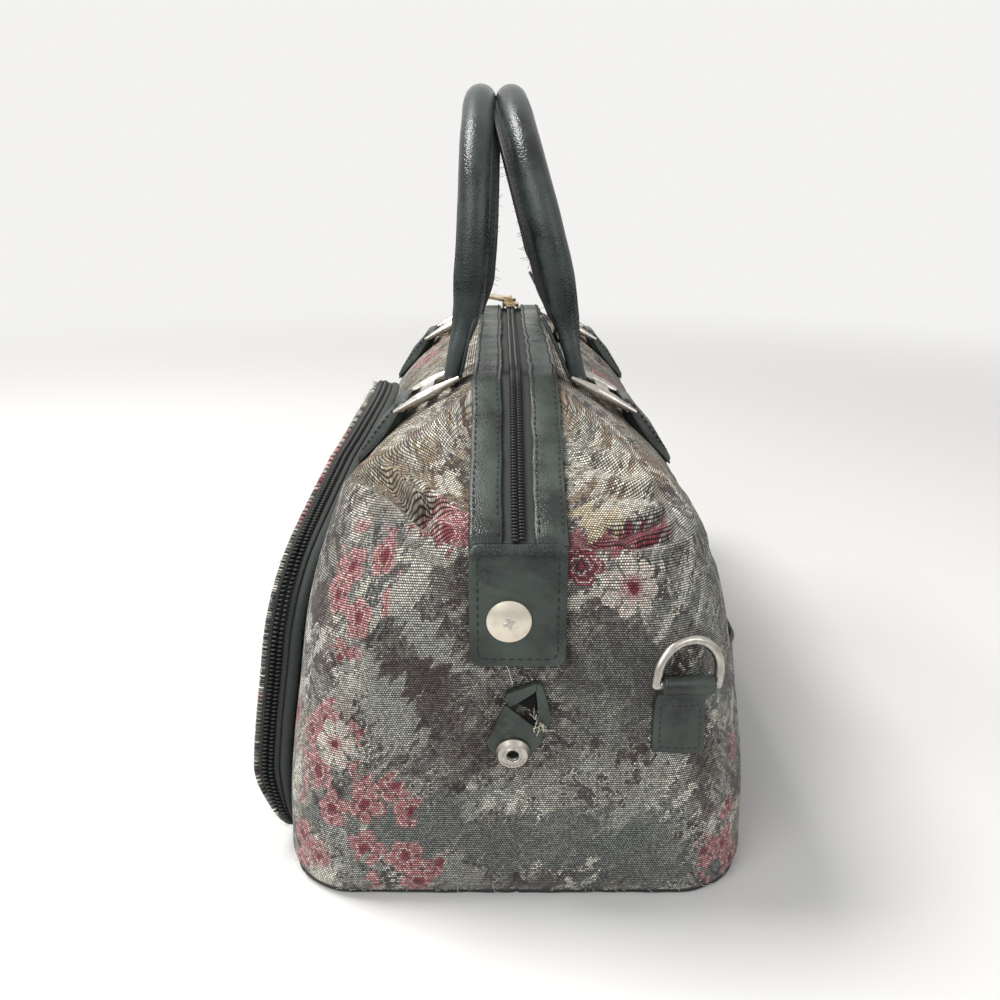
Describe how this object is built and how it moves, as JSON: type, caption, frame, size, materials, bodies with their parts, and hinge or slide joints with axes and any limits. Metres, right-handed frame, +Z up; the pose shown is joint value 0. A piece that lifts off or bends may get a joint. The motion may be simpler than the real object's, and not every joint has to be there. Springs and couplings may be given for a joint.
{
  "type": "carpet bag",
  "caption": "Soft tapestry travel bag with round leather handles on metal links, a zipped mouth with snap tabs, a zip-around front pocket and strap rings.",
  "frame": {"origin": "middle of the base, on the surface that the bag stands on", "axes": "+X along the bag's length, -Y the front with the zip-around pocket, +Z up"},
  "size_m": [0.3866, 0.1991, 0.289],
  "materials": {
    "tapestry": "woven floral tapestry, matt",
    "base_cloth": "plain dark cloth",
    "board": "plain stiffener",
    "leather": "dark green, worn satin",
    "zip_tape": "woven tape",
    "zip_coil": "satin nylon",
    "nickel": "worn warm nickel",
    "pale_brass": "pale worn brass"
  },
  "bodies": {
    "bag": {"back_body_cloth": "tapestry", "back_strap_far": "leather", "back_strap_near": "leather", "base_board": "board", "base_panel": "base_cloth", "base_piping": "leather", "end_tab_far": "leather", "end_tab_near": "leather", "front_body_cloth": "tapestry", "front_strap_far": "leather", "front_strap_near": "leather", "keeper_far": "leather", "keeper_near": "leather", "pocket_coil": "zip_coil", "pocket_panel": "tapestry", "pocket_roll": "zip_tape", "pocket_tape_inner": "zip_tape", "pocket_tape_outer": "zip_tape", "rear_sleeve": "tapestry", "ring_tab_far": "leather", "ring_tab_near": "leather", "snap_caps": "nickel", "snap_sockets": "nickel", "zip_band_back": "leather", "zip_band_front": "leather", "zip_coil_back": "zip_coil", "zip_coil_front": "zip_coil", "zip_tape_back": "zip_tape", "zip_tape_front": "zip_tape"},
    "front_links": {"front_link_near": "nickel", "front_link_far": "nickel"},
    "back_links": {"back_link_near": "nickel", "back_link_far": "nickel"},
    "front_handle": {"front_handle": "leather", "front_handle_rivets": "nickel"},
    "back_handle": {"back_handle": "leather", "back_handle_rivets": "nickel"},
    "near_ring": {"d_ring_near": "nickel"},
    "far_ring": {"d_ring_far": "nickel"},
    "main_slider": {"zip_slider": "pale_brass"},
    "main_pull": {"zip_pull": "pale_brass"},
    "pocket_slider": {"pocket_slider": "pale_brass"},
    "pocket_pull": {"pocket_pull": "pale_brass"}
  },
  "joints": [
    {"name": "front_link_lift", "type": "hinge", "parent": "bag", "child": "front_links", "pos_m": [0, -0.0451, 0.1644], "axis": [1, 0, 0], "range_deg": [0, 30]},
    {"name": "back_link_lift", "type": "hinge", "parent": "bag", "child": "back_links", "pos_m": [0, 0.0451, 0.1644], "axis": [-1, 0, 0], "range_deg": [0, 30]},
    {"name": "front_handle_fold", "type": "hinge", "parent": "front_links", "child": "front_handle", "pos_m": [0, -0.0253, 0.175], "axis": [1, 0, 0], "range_deg": [0, 78]},
    {"name": "back_handle_fold", "type": "hinge", "parent": "back_links", "child": "back_handle", "pos_m": [0, 0.0253, 0.175], "axis": [-1, 0, 0], "range_deg": [0, 85]},
    {"name": "near_ring_swing", "type": "hinge", "parent": "bag", "child": "near_ring", "pos_m": [0.18723, 0.05743, 0.089], "axis": [-0.3052, 0.9393, -0.1564], "range_deg": [0, 140]},
    {"name": "far_ring_swing", "type": "hinge", "parent": "bag", "child": "far_ring", "pos_m": [-0.18723, 0.05743, 0.089], "axis": [-0.3052, -0.9393, 0.1564], "range_deg": [0, 140]},
    {"name": "main_zip_slide", "type": "slide", "parent": "bag", "child": "main_slider", "axis": [1, 0, 0], "range_m": [0, 0.182]},
    {"name": "main_pull_flip", "type": "hinge", "parent": "main_slider", "child": "main_pull", "pos_m": [-0.091, 0, 0.1827], "axis": [-0.5, 0.866, 0], "range_deg": [0, 165]},
    {"name": "pocket_zip_slide", "type": "slide", "parent": "bag", "child": "pocket_slider", "axis": [0, 0.1673, 0.9859], "range_m": [0, 0.028]},
    {"name": "pocket_pull_flip", "type": "hinge", "parent": "pocket_slider", "child": "pocket_pull", "pos_m": [-0.1593, -0.09425, 0.04632], "axis": [0, 0.9859, -0.1673], "range_deg": [0, 165]}
  ]
}
